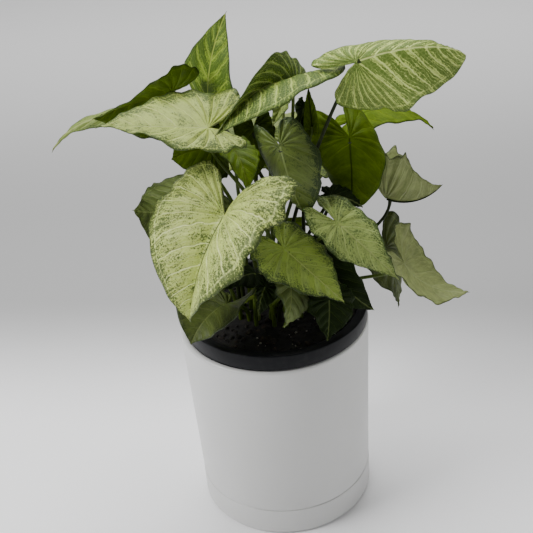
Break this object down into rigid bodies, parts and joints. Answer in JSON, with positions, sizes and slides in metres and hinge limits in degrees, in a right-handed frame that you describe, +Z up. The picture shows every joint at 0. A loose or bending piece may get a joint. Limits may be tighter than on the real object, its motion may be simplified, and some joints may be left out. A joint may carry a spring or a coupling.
{
  "type": "potted plant",
  "caption": "Bushy arrowhead vine of pale, veined and deep green leaves in a white tapered pot on its flush saucer.",
  "frame": {"origin": "middle of the saucer's underside, on the surface the plant stands on", "axes": "+Z up; +X to the right of someone who looks at the front; +Y away from them"},
  "size_m": [0.2911, 0.2132, 0.3732],
  "materials": {
    "white_glaze": "satin",
    "black_plastic": "satin",
    "soil": "rough",
    "pale_leaf": "satin",
    "veined_leaf": "satin",
    "fresh_leaf": "satin",
    "dark_leaf": "satin",
    "olive_leaf": "satin",
    "shaded_leaf": "satin"
  },
  "bodies": {
    "root": {"saucer": "white_glaze", "cover_pot": "white_glaze", "nursery_pot": "black_plastic", "soil": "soil", "leaf_front_large": "pale_leaf", "leaf_left_level": "pale_leaf", "leaf_left_folded": "dark_leaf", "leaf_far_left": "pale_leaf", "leaf_top_upright": "fresh_leaf", "leaf_top_middle": "veined_leaf", "leaf_top_right": "veined_leaf", "leaf_right_drooping": "fresh_leaf", "leaf_right_hanging": "dark_leaf", "leaf_right_underside": "fresh_leaf", "leaf_centre_hanging": "fresh_leaf", "leaf_right_front": "pale_leaf", "leaf_middle_front": "olive_leaf", "leaf_shade_right": "shaded_leaf", "leaf_behind_right": "shaded_leaf", "leaf_far_right": "olive_leaf", "leaf_small_arching": "shaded_leaf", "leaf_over_rim": "olive_leaf", "leaf_low_middle": "olive_leaf", "leaf_low_right": "shaded_leaf", "leaf_small_low": "shaded_leaf", "leaf_shade_low": "shaded_leaf", "leaf_left_back": "fresh_leaf", "leaf_shade_left": "shaded_leaf", "leaf_young_furled": "fresh_leaf", "leaf_shade_centre": "dark_leaf", "leaf_new_narrow": "fresh_leaf", "leaf_new_curled": "dark_leaf", "leaf_new_rolled": "fresh_leaf", "leaf_back_left": "pale_leaf", "leaf_back_middle": "pale_leaf", "leaf_back_right": "fresh_leaf", "leaf_back_low": "fresh_leaf"}
  },
  "joints": []
}
